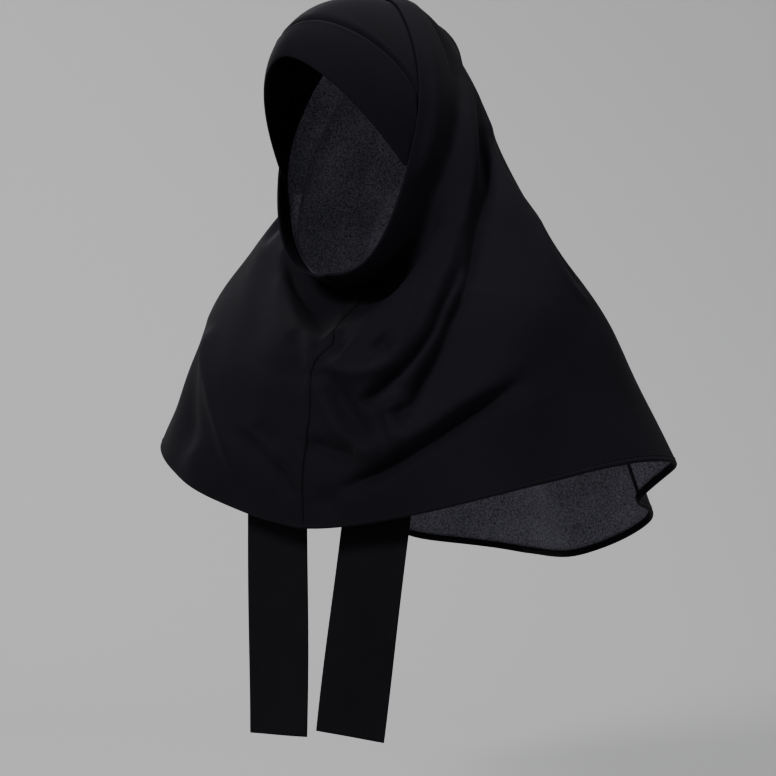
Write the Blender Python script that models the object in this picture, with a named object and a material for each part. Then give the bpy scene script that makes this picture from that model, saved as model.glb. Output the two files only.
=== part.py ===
# Pull-on head covering with a sewn brow band, a crown panel, a draped cape and two flat ties.
# It keeps the form that it has when worn. Metres, +Z up, the face looks along -Y, and the wearer's
# left is +X. The origin is where the inside of the crown sits on top of the head.

import math

import bmesh
import bpy
import numpy as np

# Cloth
CLOTH = 0.0020            # wall of the cape, crown panel and band
HEM_CLOTH = 0.0012        # the turned-up hem allowance
TIE_CLOTH = 0.0020        # a tie is a pressed flat tube of two thin layers
GAP = 0.0008              # between the cape and the band and panel under it
HEM_GAP = 0.0020          # between the cape and its turned-up allowance

# Hood edge, the folded edge that runs under the chin and over the crown
CHIN_DROP = 0.236         # below the top of the crown
CHIN_REACH = 0.065        # forward of the head's middle
CHEEK_DROP = 0.115
CHEEK_REACH = 0.040
CHEEK_HALF_WIDTH = 0.082
CROWN_REACH = 0.005       # the hood edge crosses the crown here
HEAD_TURN = math.radians(8.0)  # the head looks a little to the wearer's right

# Hem of the cape
HEM_FRONT_DROP = 0.445
HEM_FRONT_REACH = 0.103
HEM_BACK_DROP = 0.451
HEM_BACK_REACH = 0.205
HEM_SIDE_DROP = 0.382
HEM_SIDE_BACK = 0.034     # the widest points lie behind the head's middle
HEM_HALF_WIDTH = 0.252
HEM_SKEW = 0.005          # the wearer's left side hangs lower by this
HEM_BACK_SAG = 0.036      # the back hangs lower by this, from SAG_FROM on to SAG_TO, in the cosine
SAG_FROM = 0.45           # of the angle from the back
SAG_TO = 0.95
HEM_TURN = 0.009          # height of the turned-up allowance

# Brow band and crown panel
BROW_HALF_WIDTH = 0.084
BROW_REACH = 0.112        # forehead, forward of the head's middle
BROW_DROP = 0.056         # lower edge of the band at the middle of the forehead
BROW_CORNER_TURN = math.radians(67.0)  # round the head from the forehead to the cheek corner
SKULL_HEIGHT = 0.118      # crown above the widest level of the head
CHEEK_CORNER = math.radians(74.0)      # where the band meets the hood edge, round the loop
CORNER_SHOW = 0.005       # the band's edge stands this far below the hood edge there
CORNER_TUCK = 1.30        # the band's corners lie under the hood, at this w
TUCK_FROM = 0.90          # its edge goes under from this share of its half length on
SEAM_SHARE = 0.33         # place of the seam between brow edge and hood edge, at the middle
SEAM_CORNER = 0.73        # share of the band's half length at which the seam goes under the hood
SEAM_CLEARANCE = 0.012    # between band and panel, in w
CROWN_BULGE = 0.055       # the crown stands this share further out in front of the hood edge
CORNER_CLEARANCE = 0.25   # between them at the seam's corners, as a share of a column's width

# Ties
TIE_WIDTH = 0.068
TIE_DROP = 0.619          # lower end below the top of the crown
TIE_TOP = 0.400           # where a tie is sewn inside the cape, in the cape's own v
TIE_SEWN = 0.060          # length of that seam, in v
TIE_HANG_REACH = 0.074    # a hanging tie lies this far forward of the head's middle
TIE_BOW = 0.050           # it would lie this much further back if it hung at the cape's side
TIE_EASE = 0.040          # height over which it swings from its seam to where it hangs

# Rows from the hood edge to the hem. v is the place on the way. The other columns are shares of the
# way from the hood edge's size, 0, to the hem's, 1, except: round is the power of the outline's
# sine, turn the share of the head's turn, pear how much narrower the back is, and drape the power
# with which the hem rises from the front to the sides.
SECTION_COLUMNS = ("v", "front_reach", "front_drop", "back_reach", "back_drop", "side_back",
                   "side_drop", "half_width", "round", "turn", "pear", "skew", "drape")
SECTIONS = [
    (0.00, 0.00, 0.00, 0.00, 0.00, 0.00, 0.00, 0.00, 0.66, 1.0, 0.45, 0.0, 2.0),
    (0.08, -1.03, 0.08, 0.12, 0.00, 0.27, 0.09, 0.04, 0.78, 1.0, 0.36, 0.0, 2.0),
    (0.18, 0.29, 0.24, 0.29, 0.04, 0.54, 0.17, 0.12, 0.92, 0.8, 0.42, 0.0, 2.0),
    (0.32, 0.71, 0.42, 0.40, 0.18, 0.47, 0.32, 0.335, 0.92, 0.5, 0.48, 0.0, 2.0),
    (0.48, 0.87, 0.56, 0.52, 0.39, 0.52, 0.49, 0.60, 0.90, 0.2, 0.38, 0.0, 1.9),
    (0.65, 1.00, 0.71, 0.70, 0.61, 0.75, 0.64, 0.735, 0.88, 0.0, 0.22, 0.4, 1.8),
    (0.82, 1.03, 0.85, 0.87, 0.80, 0.90, 0.82, 0.855, 0.88, 0.0, 0.08, 0.8, 1.6),
    (1.00, 1.00, 1.00, 1.00, 1.00, 1.00, 1.00, 1.00, 0.90, 0.0, 0.00, 1.0, 1.4),
]

# Folds: a path of (degrees round the loop from the chin, v), the width and height of the fold in
# shares of FOLD_WIDTH and FOLD_HEIGHT, and whether it keeps its height to its last point.
FOLD_WIDTH = 0.025
FOLD_HEIGHT = 0.016
FOLD_COLUMNS = ("name", "path", "width", "height", "open_end")
FOLDS = [
    ("roll_by_the_cheek", ((150, 0.03), (118, 0.06), (90, 0.05), (72, 0.04)), 0.60, 0.3, 0),
    ("valley_behind_the_roll", ((150, 0.13), (122, 0.12), (95, 0.10), (66, 0.075)), 0.60, -0.7, 0),
    ("valley_under_the_jaw", ((84, 0.09), (45, 0.065), (24, 0.07), (2, 0.10)), 0.70, -0.7, 0),
    ("long_ridge", ((140, 0.14), (106, 0.165), (80, 0.22), (56, 0.30)), 0.55, 0.8, 0),
    ("long_valley", ((134, 0.19), (95, 0.215), (65, 0.29), (28, 0.52)), 0.65, -1.0, 0),
    ("breast_valley", ((70, 0.20), (46, 0.28), (30, 0.35), (12, 0.45)), 0.60, -0.8, 0),
    ("cowl_ridge", ((72, 0.49), (48, 0.51), (34, 0.55), (16, 0.63)), 0.80, 0.5, 0),
    ("cowl_valley", ((74, 0.56), (45, 0.60), (24, 0.67), (3, 0.82)), 0.80, -0.8, 0),
    ("hollow_by_the_seam", ((6, 0.25), (10, 0.36), (17, 0.50)), 0.90, -0.5, 0),
    ("right_throat_valley", ((-66, 0.17), (-36, 0.14), (-14, 0.14), (5, 0.18)), 0.60, -0.8, 0),
    ("right_throat_ridge", ((-64, 0.21), (-36, 0.18), (-18, 0.19), (0, 0.25)), 0.60, 0.4, 0),
    ("right_breast_valley", ((-22, 0.54), (-10, 0.65), (-5, 0.72), (1, 0.86)), 0.70, -0.5, 0),
    ("right_arm_ridge", ((-56, 0.48), (-38, 0.58), (-26, 0.74), (-18, 0.92)), 0.90, 0.6, 0),
    ("left_nape_ridge", ((108, 0.24), (99, 0.42), (96, 0.55), (98, 0.70)), 0.80, 0.5, 0),
    ("left_nape_valley", ((112, 0.28), (118, 0.42), (122, 0.56), (124, 0.70)), 0.90, -0.6, 0),
    ("right_cheek_valley", ((-150, 0.13), (-120, 0.12), (-95, 0.10), (-60, 0.09)), 0.70, -0.6, 0),
    ("right_long_ridge", ((-138, 0.14), (-108, 0.17), (-84, 0.21), (-60, 0.28)), 0.80, 0.5, 0),
    ("right_long_valley", ((-132, 0.20), (-104, 0.23), (-76, 0.29), (-48, 0.42)), 0.90, -0.7, 0),
    ("left_back_flute", ((116, 0.45), (122, 0.72), (127, 1.00)), 1.20, -1.8, 1),
    ("left_back_fold", ((140, 0.40), (141, 0.70), (143, 1.00)), 0.80, 0.3, 1),
    ("middle_back_flute", ((166, 0.45), (165, 0.72), (164, 1.00)), 1.20, -1.0, 1),
    ("middle_back_fold", ((-176, 0.40), (-176, 0.70), (-177, 1.00)), 1.20, 0.6, 1),
    ("right_back_flute", ((-156, 0.48), (-156, 0.74), (-157, 1.00)), 1.20, -1.1, 1),
    ("right_back_fold", ((-133, 0.40), (-134, 0.70), (-134, 1.00)), 1.20, 0.7, 1),
    ("right_arm_flute", ((-110, 0.48), (-112, 0.75), (-113, 1.00)), 1.10, -1.0, 1),
]

# Fineness of the grids
CAPE_AROUND = 150
CAPE_ROWS = 90
CAPE_KEPT = 0.1475         # share of the cape's facets kept, where it is bent most
HEM_KEPT = 0.44
ROW_CROWDING = 1.25       # rows stand closer towards the hood edge
CROWDING = 0.25           # how much closer the columns stand at the left breast than opposite it
CROWDED = math.radians(42.0)
BAND_ROWS = 8
PANEL_ROWS = 8
CAP_KEPT = 0.22
UNDERLAP_ROWS = 8         # band and panel go under the cape by this many of its rows
TIE_ACROSS = 6
TIE_SEWN_ROWS = 5
TIE_FREE_ROWS = 12
FOLD_STEPS = 241          # points along each fold's path

TOP = 1.5 * CLOTH + GAP   # middle of the cape's wall above the inside of the crown panel

BLACK_CREPE = (0.012, 0.011, 0.014, 1.0)

# Ties, each with its middle at the hem's level in tie widths, its lean towards the wearer's right,
# the share of its width by which the corner on the wearer's right is cut lower, how much longer it
# is in tie widths, and the gap between its sewn end and the cape in cloth thicknesses, which is
# larger where the cape is folded
TIE_COLUMNS = ("name", "middle", "lean", "cut", "longer", "gap")
TIES = [
    ("tie_left", 0.706, 0.147, 0.09, 0.0, 0.55),
    ("tie_right", -0.775, 0.025, 0.08, 0.09, 0.25),
]


def clear_scene():
    for old in list(bpy.data.objects):
        bpy.data.objects.remove(old, do_unlink=True)


def cloth_material(name, colour, roughness):
    material = bpy.data.materials.new(name)
    material.use_nodes = True
    shader = material.node_tree.nodes["Principled BSDF"]
    shader.inputs["Base Color"].default_value = colour
    shader.inputs["Roughness"].default_value = roughness
    shader.inputs["Metallic"].default_value = 0.0
    material.diffuse_color = colour
    return material


def through_rows(places, rows, at):
    # Smooth curve through the rows of a table: cubic pieces whose slopes come from the neighbours
    slopes = np.gradient(rows, places, axis=0)
    i = np.clip(np.searchsorted(places, at, side="right") - 1, 0, len(places) - 2)
    step = (places[i + 1] - places[i])[:, None]
    s = (at[:, None] - places[i][:, None]) / step
    return ((2 * s**3 - 3 * s**2 + 1) * rows[i] + (s**3 - 2 * s**2 + s) * step * slopes[i]
            + (3 * s**2 - 2 * s**3) * rows[i + 1] + (s**3 - s**2) * step * slopes[i + 1])


def turned(points, angle):
    # Turns points about the head's upright axis, the face going towards the wearer's right
    x, y, z = points[..., 0], points[..., 1], points[..., 2]
    return np.stack([x * np.cos(angle) + y * np.sin(angle),
                     y * np.cos(angle) - x * np.sin(angle), z], axis=-1)


def smooth_cape(around, v):
    # The cape without folds. around is the angle round the loop, 0 at the chin, a quarter turn at
    # the wearer's left, a half turn at the crown. Each loop is a rounded oval bent through its
    # front, side and back points.
    around, v = np.broadcast_arrays(around, v)
    table = np.array([row[1:] for row in SECTIONS], float)
    places = np.array([row[0] for row in SECTIONS], float)
    rows = through_rows(places, table, v.ravel()).reshape(v.shape + (-1,))
    share = dict(zip(SECTION_COLUMNS[1:], np.moveaxis(rows, -1, 0)))

    def between(hood, hem, name):
        return hood + (hem - hood) * share[name]

    front_y = -between(CHIN_REACH, HEM_FRONT_REACH, "front_reach")
    front_z = -between(CHIN_DROP, HEM_FRONT_DROP, "front_drop")
    back_y = between(-CROWN_REACH, HEM_BACK_REACH, "back_reach")
    back_z = -between(0.0, HEM_BACK_DROP, "back_drop")
    side_y = between(-CHEEK_REACH, HEM_SIDE_BACK, "side_back")
    side_z = -between(CHEEK_DROP, HEM_SIDE_DROP, "side_drop")
    half = between(CHEEK_HALF_WIDTH, HEM_HALF_WIDTH, "half_width")

    back = -np.cos(around)
    side = np.sin(around)
    rise = 1.0 - np.abs(side) ** share["drape"]
    x = half * np.sign(side) * np.abs(side) ** share["round"]
    x = x * (1.0 - share["pear"] * np.maximum(back, 0.0) ** 2)
    y = side_y + (back_y - front_y) / 2 * back + ((back_y + front_y) / 2 - side_y) * back**2
    z = side_z + (back_z - front_z) / 2 * back + ((back_z + front_z) / 2 - side_z) * rise
    sag = np.clip((back - SAG_FROM) / (SAG_TO - SAG_FROM), 0.0, 1.0)
    z = z - share["skew"] * (HEM_SKEW * side + HEM_BACK_SAG * sag**2 * (3 - 2 * sag)) + TOP
    return turned(np.stack([x, y, z], axis=-1), HEAD_TURN * share["turn"])


def surface_normals(shape, around, v, step=1e-3):
    # Unit normals of shape(around, v) out of the garment, from small steps both ways
    across = shape(around + step, v) - shape(around - step, v)
    down = shape(around, np.minimum(v + step, 1.0)) - shape(around, np.maximum(v - step, 0.0))
    normal = np.cross(down, across)
    return normal / np.linalg.norm(normal, axis=-1, keepdims=True)


def fold_heights(points):
    # Sum of the folds at these points: each is a bell across its path, with its height growing from
    # the path's first point and fading to its last
    total = np.zeros(points.shape[:-1])
    for name, path, width, height, open_end in FOLDS:
        path = np.array(path, float)
        along = np.linspace(0.0, 1.0, FOLD_STEPS)
        line = through_rows(np.linspace(0.0, 1.0, len(path)), path, along)
        line = smooth_cape(np.radians(line[:, 0]), np.clip(line[:, 1], 0.0, 1.0))
        away = np.linalg.norm(points[..., None, :] - line, axis=-1)
        nearest = np.argmin(away, axis=-1)
        place = along[nearest]
        fade_in = np.sin(np.pi / 2 * np.clip(place / 0.35, 0.0, 1.0))
        fade_out = np.sin(np.pi / 2 * np.clip((1.0 - place) / 0.35, 0.0, 1.0))
        strength = fade_in * (1.0 if open_end else fade_out)
        bell = np.exp(-(np.min(away, axis=-1) / (FOLD_WIDTH * width)) ** 2)
        total += FOLD_HEIGHT * height * strength * bell
    return total


def draped_cape(around, v, outwards=0.0):
    # The cape with its folds, moved outwards along its normal
    around, v = np.broadcast_arrays(around, v)
    smooth = smooth_cape(around, v)
    normal = surface_normals(smooth_cape, around, v)
    return smooth + normal * (fold_heights(smooth) + outwards)[..., None]


def loop_angles(count):
    even = np.linspace(0.0, 2 * np.pi, count, endpoint=False)
    return even - CROWDING * (np.sin(even - CROWDED) + math.sin(CROWDED))


def weld(mesh):
    # Joins points of the grid that lie on each other, where rows run together
    shape = bmesh.new()
    shape.from_mesh(mesh)
    bmesh.ops.remove_doubles(shape, verts=shape.verts, dist=1e-5)
    shape.to_mesh(mesh)
    shape.free()


def cloth_piece(name, grid, thickness, material, kept=1.0, closed=False):
    # A sheet through the points of a grid, thinned out to a share of its facets and then given its
    # thickness to both sides. A closed grid joins its last column to its first.
    columns, rows = grid.shape[:2]
    i, j = np.meshgrid(np.arange(columns if closed else columns - 1), np.arange(rows - 1), indexing="ij")
    i, j = i.ravel(), j.ravel()
    k = (i + 1) % columns
    quads = np.stack([i * rows + j, i * rows + j + 1, k * rows + j + 1, k * rows + j], axis=1)
    mesh = bpy.data.meshes.new(name)
    mesh.from_pydata(grid.reshape(-1, 3).tolist(), [], quads.tolist())
    weld(mesh)
    mesh.shade_smooth()
    mesh.materials.append(material)
    piece = bpy.data.objects.new(name, mesh)
    bpy.context.scene.collection.objects.link(piece)
    if kept < 1.0:
        thinned = piece.modifiers.new("thinned", "DECIMATE")
        thinned.ratio = kept
    wall = piece.modifiers.new("wall", "SOLIDIFY")
    wall.thickness = thickness
    wall.offset = 0.0
    wall.use_even_offset = False
    return piece


def cape_rows():
    return np.linspace(0.0, 1.0, CAPE_ROWS) ** ROW_CROWDING


def underlap():
    # How far band and panel go under the cape, in v
    return cape_rows()[UNDERLAP_ROWS]


def make_cape(material):
    around = loop_angles(CAPE_AROUND)[:, None]
    v = cape_rows()[None, :]
    return cloth_piece("cape", draped_cape(around, v), CLOTH, material, CAPE_KEPT, closed=True)


def make_hem(material):
    # The allowance turned up inside the cape, along its whole hem
    around = loop_angles(CAPE_AROUND)[:, None]
    last = draped_cape(around, np.array([[0.97, 1.0]]))
    length_per_v = np.linalg.norm(last[:, 1] - last[:, 0], axis=-1) / 0.03
    top_v = 1.0 - HEM_TURN / length_per_v[:, None]
    inwards = CLOTH / 2 + HEM_GAP + HEM_CLOTH / 2
    rows = [draped_cape(around, v, -inwards) for v in (top_v, np.ones_like(top_v))]
    return cloth_piece("hem_turn", np.concatenate(rows, axis=1), HEM_CLOTH, material, HEM_KEPT, closed=True)


def brow_edge(along):
    # Lower front edge of the band: along runs from -1 at the right cheek corner to 1 at the left
    turn = BROW_CORNER_TURN * along
    corner = draped_cape(np.array([CHEEK_CORNER]), np.array([0.0]))[0]
    corner_drop = TOP - corner[2] + CORNER_SHOW
    drop = BROW_DROP + (corner_drop - BROW_DROP) * np.abs(along) ** 1.75
    edge = np.stack([BROW_HALF_WIDTH * np.sin(turn), -BROW_REACH * np.cos(turn), TOP - drop], axis=-1)
    return turned(edge, HEAD_TURN)


def skull_size(points):
    # How far a point is from the head's middle, counted in the size of the head's oval
    middle = np.array([0.0, 0.0, TOP - SKULL_HEIGHT])
    axes = np.array([BROW_HALF_WIDTH, BROW_REACH, SKULL_HEIGHT])
    return np.linalg.norm((turned(points, -HEAD_TURN) - middle) / axes, axis=-1)


def cap_surface(along, w):
    # Middle of the cloth of band and crown panel. w is 0 at the brow edge and 1 under the hood edge.
    # In between it bulges as the head does, and past 1 it follows the inside of the cape.
    along, w = np.broadcast_arrays(along, w)
    middle = np.array([0.0, 0.0, TOP - SKULL_HEIGHT])
    inwards = -(CLOTH + GAP)
    corner = loop_angles(CAPE_AROUND)[corner_column()]
    around = np.pi - along * (np.pi - corner)
    hood = draped_cape(around, np.zeros_like(w), inwards)
    share = np.clip(w, 0.0, 1.0)[..., None]
    brow = brow_edge(along)
    straight = brow + (hood - brow) * share
    size = skull_size(brow)[..., None] * (1 - share) + skull_size(hood)[..., None] * share
    bulge = 6.75 * share * (1 - share) ** 2 * (1 - along[..., None] ** 2)
    size = size * (1.0 + CROWN_BULGE * bulge)
    bulged = middle + (straight - middle) * size / skull_size(straight)[..., None]
    under = draped_cape(around, np.maximum(w - 1.0, 0.0) * underlap(), inwards)
    return np.where(w[..., None] <= 1.0, bulged, under)


def corner_column():
    # The cape's column nearest to the band's left corner
    return int(np.argmin(np.abs(loop_angles(CAPE_AROUND) - CHEEK_CORNER)))


def cap_columns():
    # Band and panel stand on the cape's own columns, so that they lie flat against it
    around = loop_angles(CAPE_AROUND)
    around = around[corner_column():CAPE_AROUND]
    along = (np.pi - around) / (np.pi - around[0])
    return along[along > -1.0 - 0.5 / CAPE_AROUND]


def seam_corners():
    # The two columns nearest to the places where the seam goes under the hood
    along = cap_columns()
    return along[np.argmin(np.abs(along + SEAM_CORNER))], along[np.argmin(np.abs(along - SEAM_CORNER))]


def seam_place(along):
    # Where the seam between band and panel runs, in w. It goes under the hood at its corners.
    right, left = seam_corners()
    return SEAM_SHARE + (1.0 - SEAM_SHARE) * np.where(along < 0, along / right, along / left) ** 2


def under_rows():
    # The cape's first rows, in w
    return 1.0 + cape_rows()[:UNDERLAP_ROWS + 1] / underlap()


def make_band(material):
    # Up to the seam between its corners, and on under the hood outside them
    along = cap_columns()[:, None]
    right, left = seam_corners()
    whole = np.concatenate([np.linspace(0.0, 1.0, BAND_ROWS + 1)[:-1], under_rows()])[None, :]
    tucked = CORNER_TUCK * np.clip((np.abs(along) - TUCK_FROM) / (1.0 - TUCK_FROM), 0.0, 1.0)
    outer = tucked + (2.0 - tucked) * whole / 2
    narrow = seam_place(along) * np.linspace(0.0, 1.0, whole.shape[1])[None, :]
    w = np.where((along > right) & (along < left), narrow, outer)
    w = np.where((along == right) | (along == left), np.minimum(whole, 1.0), w)
    return cloth_piece("brow_band", cap_surface(along, w), CLOTH, material, CAP_KEPT)


def make_panel(material):
    # From the seam back under the hood. Its sides stop just short of the seam's corners.
    along = cap_columns()
    right, left = seam_corners()
    inner = along[(along > right) & (along < left)]
    sides = [left + (inner[0] - left) * CORNER_CLEARANCE, right + (inner[-1] - right) * CORNER_CLEARANCE]
    along = np.concatenate([sides[:1], inner, sides[1:]])[:, None]
    front = seam_place(along) + SEAM_CLEARANCE
    visible = front + (1.0 - front) * np.linspace(0.0, 1.0, PANEL_ROWS + 1)[None, :-1]
    under = np.broadcast_to(under_rows(), (len(along), UNDERLAP_ROWS + 1))
    w = np.concatenate([visible, under], axis=1)
    return cloth_piece("crown_panel", cap_surface(along, w), CLOTH, material, CAP_KEPT)


def chest_angle(x, v):
    # Angle round the loop at which the unfolded cape's front is x from the middle
    side = smooth_cape(np.array([[np.pi / 2]]), np.atleast_2d(v))[..., 0]
    return np.arcsin(np.clip(x / side, -0.97, 0.97))


def tie_grid(middle, lean, cut, longer, gap):
    # Columns across the tie, rows from its sewn top to its lower end
    middle = middle * TIE_WIDTH
    across = np.linspace(-0.5, 0.5, TIE_ACROSS + 1)[:, None] * TIE_WIDTH
    inwards = -(CLOTH / 2 + gap * CLOTH + TIE_CLOTH / 2)
    v = np.linspace(TIE_TOP, TIE_TOP + TIE_SEWN, TIE_SEWN_ROWS + 1)[None, :]
    height = smooth_cape(np.array([0.0]), v[0])[:, 2]
    x = middle + across + lean * (height - (TOP - HEM_FRONT_DROP))
    sewn = draped_cape(chest_angle(x, np.broadcast_to(v, x.shape)), v, inwards)
    start = sewn[:, -1:]
    fall = np.linspace(0.0, 1.0, TIE_FREE_ROWS + 1)[None, 1:]
    end_z = TOP - TIE_DROP - longer * TIE_WIDTH + (cut - lean) * across
    z = start[..., 2] + (end_z - start[..., 2]) * fall
    end_x = middle + across + lean * (end_z - (TOP - HEM_FRONT_DROP))
    x = start[..., 0] + (end_x - start[..., 0]) * fall
    swing = np.clip((start[..., 2] - z) / TIE_EASE, 0.0, 1.0)
    swing = swing * swing * (3 - 2 * swing)
    hang_y = -TIE_HANG_REACH + TIE_BOW * (x / HEM_HALF_WIDTH) ** 2
    y = start[..., 1] + (hang_y - start[..., 1]) * swing
    return np.concatenate([sewn, np.stack([x, y, z], axis=-1)], axis=1)


def make_ties(material):
    for name, *place in TIES:
        cloth_piece(name, tie_grid(*place), TIE_CLOTH, material)


def main():
    clear_scene()
    crepe = cloth_material("black_crepe", BLACK_CREPE, 0.75)
    make_cape(crepe)
    make_hem(crepe)
    make_band(crepe)
    make_panel(crepe)
    make_ties(crepe)


main()
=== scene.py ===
import math

import bmesh
import bpy
import numpy as np
from mathutils import Matrix, Vector


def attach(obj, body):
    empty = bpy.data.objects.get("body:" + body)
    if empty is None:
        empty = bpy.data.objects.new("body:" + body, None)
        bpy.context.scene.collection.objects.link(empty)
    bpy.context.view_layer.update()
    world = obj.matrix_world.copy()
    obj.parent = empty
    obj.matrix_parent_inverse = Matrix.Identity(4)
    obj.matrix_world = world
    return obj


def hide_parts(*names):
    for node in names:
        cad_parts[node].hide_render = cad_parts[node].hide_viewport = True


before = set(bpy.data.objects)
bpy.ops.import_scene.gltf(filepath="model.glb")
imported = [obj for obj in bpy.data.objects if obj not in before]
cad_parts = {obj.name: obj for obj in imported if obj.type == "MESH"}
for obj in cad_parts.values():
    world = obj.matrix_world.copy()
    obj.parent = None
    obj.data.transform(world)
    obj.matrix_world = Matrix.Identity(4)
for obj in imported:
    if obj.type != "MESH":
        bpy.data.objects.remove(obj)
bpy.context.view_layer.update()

# The drape without its folds
# The cape is one surface of two parameters: around, the angle round its loops (0 at the front, a
# quarter turn on the +X side, a half turn at the crown), and down, 0 at the hood edge and 1 at the
# hem. Sizes in metres, drops below the top of the crown, reaches from the hood's upright axis.

drape = dict(
    top=0.0038,             # middle of the hood's cloth above the inside of the crown
    edgeFrontDrop=0.236, edgeFrontReach=0.065,
    edgeSideDrop=0.115, edgeSideReach=0.040, edgeHalf=0.082,
    crownReach=0.005,
    hemFrontDrop=0.445, hemFrontReach=0.103,
    hemBackDrop=0.451, hemBackReach=0.205,
    hemSideDrop=0.382, hemSideBack=0.034, hemHalf=0.252,
    hemSkew=0.005, backSag=0.036, sagFrom=0.45, sagTo=0.95,
    hoodTurn=math.radians(8.0),
)

# Rows from hood edge to hem: down, then front reach and drop, back reach and drop, side place and
# drop, half width (all as shares of the way from the hood edge's size to the hem's), roundness,
# share of the hood's turn, pear shape, skew, drape power
drapeRows = np.array([
    (0.00, 0.00, 0.00, 0.00, 0.00, 0.00, 0.00, 0.00, 0.66, 1.0, 0.45, 0.0, 2.0),
    (0.08, -1.03, 0.08, 0.12, 0.00, 0.27, 0.09, 0.04, 0.78, 1.0, 0.36, 0.0, 2.0),
    (0.18, 0.29, 0.24, 0.29, 0.04, 0.54, 0.17, 0.12, 0.92, 0.8, 0.42, 0.0, 2.0),
    (0.32, 0.71, 0.42, 0.40, 0.18, 0.47, 0.32, 0.335, 0.92, 0.5, 0.48, 0.0, 2.0),
    (0.48, 0.87, 0.56, 0.52, 0.39, 0.52, 0.49, 0.60, 0.90, 0.2, 0.38, 0.0, 1.9),
    (0.65, 1.00, 0.71, 0.70, 0.61, 0.75, 0.64, 0.735, 0.88, 0.0, 0.22, 0.4, 1.8),
    (0.82, 1.03, 0.85, 0.87, 0.80, 0.90, 0.82, 0.855, 0.88, 0.0, 0.08, 0.8, 1.6),
    (1.00, 1.00, 1.00, 1.00, 1.00, 1.00, 1.00, 1.00, 0.90, 0.0, 0.00, 1.0, 1.4),
])


def throughRows(places, rows, at):
    # Cubic pieces through the rows, each slope taken from the neighbouring rows
    slopes = np.gradient(rows, places, axis=0)
    i = np.clip(np.searchsorted(places, at, side="right") - 1, 0, len(places) - 2)
    step = (places[i + 1] - places[i])[:, None]
    s = (at[:, None] - places[i][:, None]) / step
    return ((2 * s**3 - 3 * s**2 + 1) * rows[i] + (s**3 - 2 * s**2 + s) * step * slopes[i]
            + (3 * s**2 - 2 * s**3) * rows[i + 1] + (s**3 - s**2) * step * slopes[i + 1])


def turned(points, angle):
    # x and y turned about the hood's upright axis, the front going to -X
    x, y, z = points[..., 0], points[..., 1], points[..., 2]
    return np.stack([x * np.cos(angle) + y * np.sin(angle),
                     y * np.cos(angle) - x * np.sin(angle), z], axis=-1)


def smoothDrape(around, down):
    # Rounded oval through a front, a side and a back point: x is the half width times a power of the
    # sine, y and z run from front to back with the cosine and are pulled to the side point between
    around, down = np.broadcast_arrays(np.asarray(around, float), np.asarray(down, float))
    d = drape
    rows = throughRows(drapeRows[:, 0], drapeRows[:, 1:], down.ravel())
    share = np.moveaxis(rows.reshape(down.shape + (-1,)), -1, 0)
    frontY = -(d["edgeFrontReach"] + (d["hemFrontReach"] - d["edgeFrontReach"]) * share[0])
    frontZ = -(d["edgeFrontDrop"] + (d["hemFrontDrop"] - d["edgeFrontDrop"]) * share[1])
    backY = -d["crownReach"] + (d["hemBackReach"] + d["crownReach"]) * share[2]
    backZ = -d["hemBackDrop"] * share[3]
    sideY = -d["edgeSideReach"] + (d["hemSideBack"] + d["edgeSideReach"]) * share[4]
    sideZ = -(d["edgeSideDrop"] + (d["hemSideDrop"] - d["edgeSideDrop"]) * share[5])
    half = d["edgeHalf"] + (d["hemHalf"] - d["edgeHalf"]) * share[6]
    back, side = -np.cos(around), np.sin(around)
    x = half * np.sign(side) * np.abs(side) ** share[7] * (1 - share[9] * np.maximum(back, 0) ** 2)
    y = sideY + (backY - frontY) / 2 * back + ((backY + frontY) / 2 - sideY) * back**2
    rise = 1 - np.abs(side) ** share[11]
    z = sideZ + (backZ - frontZ) / 2 * back + ((backZ + frontZ) / 2 - sideZ) * rise
    sag = np.clip((back - d["sagFrom"]) / (d["sagTo"] - d["sagFrom"]), 0, 1)
    z = z - share[10] * (d["hemSkew"] * side + d["backSag"] * sag**2 * (3 - 2 * sag)) + d["top"]
    return turned(np.stack([x, y, z], axis=-1), d["hoodTurn"] * share[8])


def unit(v):
    # Each vector over its length
    return v / np.maximum(np.linalg.norm(v, axis=-1, keepdims=True), 1e-12)


def slopes(shape, around, down, step=1e-3):
    # The two directions of a surface at a point, by small steps both ways
    across = shape(around + step, down) - shape(around - step, down)
    low, high = np.maximum(down - step, 0.0), np.minimum(down + step, 1.0)
    return unit(across), unit(shape(around, high) - shape(around, low))


def outOf(shape, around, down):
    # The outward normal, the cross product of the two directions
    across, along = slopes(shape, around, down)
    return unit(np.cross(along, across))


# The folds
# Each fold follows a path of (degrees round the loop, down). Above and below are its widths towards
# the hood edge and towards the hem, height is out of the cloth, sharp is 2 for a round fold and less
# for a crease, and fade gives the shares of the path over which it comes and goes.

def fold(path, above, below, height, sharp=2.0, fade=(0.3, 0.3)):
    return dict(path=path, above=above, below=below, height=height, sharp=sharp, fade=fade)


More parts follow.
